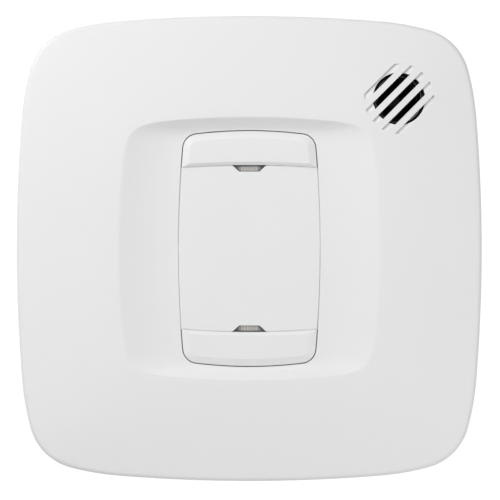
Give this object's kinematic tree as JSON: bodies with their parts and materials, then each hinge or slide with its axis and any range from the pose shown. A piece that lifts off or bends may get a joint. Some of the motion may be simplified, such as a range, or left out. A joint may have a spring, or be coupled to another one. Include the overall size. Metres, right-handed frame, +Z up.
{
  "type": "carbon monoxide detector",
  "caption": "Square wall-mounted carbon monoxide alarm with a recessed button panel, pop-out battery drawer, slotted sounder grille and twist-lock bracket.",
  "frame": {"origin": "centre of the mounting bracket's back face, on the wall plane", "axes": "+Z up, +X to the right seen from the front; the face looks along -Y and the wall is the plane y = 0"},
  "size_m": [0.1498, 0.04, 0.1498],
  "materials": {
    "white_shell": "fine moulded texture",
    "natural_plastic": "plain moulding",
    "black_plastic": "satin",
    "frosted_diffuser": "frosted",
    "spring_steel": "drawn wire",
    "screw_steel": "zinc plated",
    "contact_brass": "bright",
    "board_laminate": "solder mask",
    "sheet_plastic": "film",
    "capacitor_sleeve": "shrink sleeve",
    "film_box": "moulded box",
    "varistor_coat": "dipped coat",
    "gasket_foam": "closed cell foam",
    "lead_red": "insulation",
    "lead_black": "insulation"
  },
  "bodies": {
    "bracket": {"mounting_bracket": "white_shell"},
    "drawer": {"battery_drawer": "white_shell", "battery_case": "black_plastic", "battery_end_plates": "screw_steel", "battery_terminals": "screw_steel"},
    "test_button": {"test_button": "white_shell", "test_switch_plunger": "black_plastic"},
    "eject_button": {"eject_button": "white_shell"},
    "alarm": {"ac_inlet": "black_plastic", "ac_inlet_blades": "contact_brass", "battery_chamber": "natural_plastic", "battery_contact_negative": "contact_brass", "battery_contact_positive": "contact_brass", "board_screws": "screw_steel", "bulk_capacitors": "capacitor_sleeve", "chamber_screws": "screw_steel", "chip_resistors": "black_plastic", "choke": "natural_plastic", "circuit_board": "board_laminate", "co_sensor": "spring_steel", "co_sensor_filter": "sheet_plastic", "co_sensor_pins": "spring_steel", "eject_button_spring": "spring_steel", "film_capacitor": "film_box", "front_cover": "white_shell", "horn_gasket": "gasket_foam", "housing_screws": "screw_steel", "insulating_sheet": "sheet_plastic", "latch_spring": "spring_steel", "left_ejector_spring": "spring_steel", "lower_light_pipe": "frosted_diffuser", "lower_status_led": "frosted_diffuser", "mains_fuse": "screw_steel", "microcontroller": "black_plastic", "piezo_disc": "contact_brass", "rear_housing": "white_shell", "rectifier_diodes": "black_plastic", "right_ejector_spring": "spring_steel", "signal_amplifier": "black_plastic", "sounder_back_ring": "black_plastic", "sounder_coil": "natural_plastic", "sounder_horn": "black_plastic", "sounder_lead_black": "lead_black", "sounder_lead_red": "lead_red", "test_button_spring": "spring_steel", "test_switch": "black_plastic", "upper_light_pipe": "frosted_diffuser", "upper_status_led": "frosted_diffuser", "varistor": "varistor_coat"}
  },
  "joints": [
    {"name": "alarm_twist", "type": "hinge", "parent": "bracket", "child": "alarm", "pos_m": [0, 0, 0], "axis": [0, -1, 0], "range_deg": [0, 15]},
    {"name": "drawer_slide", "type": "slide", "parent": "alarm", "child": "drawer", "axis": [0, -1, 0], "range_m": [0, 0.019], "deforming": ["left_ejector_spring", "right_ejector_spring", "latch_spring"]},
    {"name": "test_button_press", "type": "slide", "parent": "alarm", "child": "test_button", "axis": [0, 1, 0], "range_m": [0, 0.0012], "stiffness_N_per_m": 900, "springref_m": -0.0006, "deforming": ["test_button_spring"]},
    {"name": "eject_button_press", "type": "slide", "parent": "alarm", "child": "eject_button", "axis": [0, 1, 0], "range_m": [0, 0.0015], "stiffness_N_per_m": 900, "springref_m": -0.0006, "deforming": ["eject_button_spring"]}
  ]
}
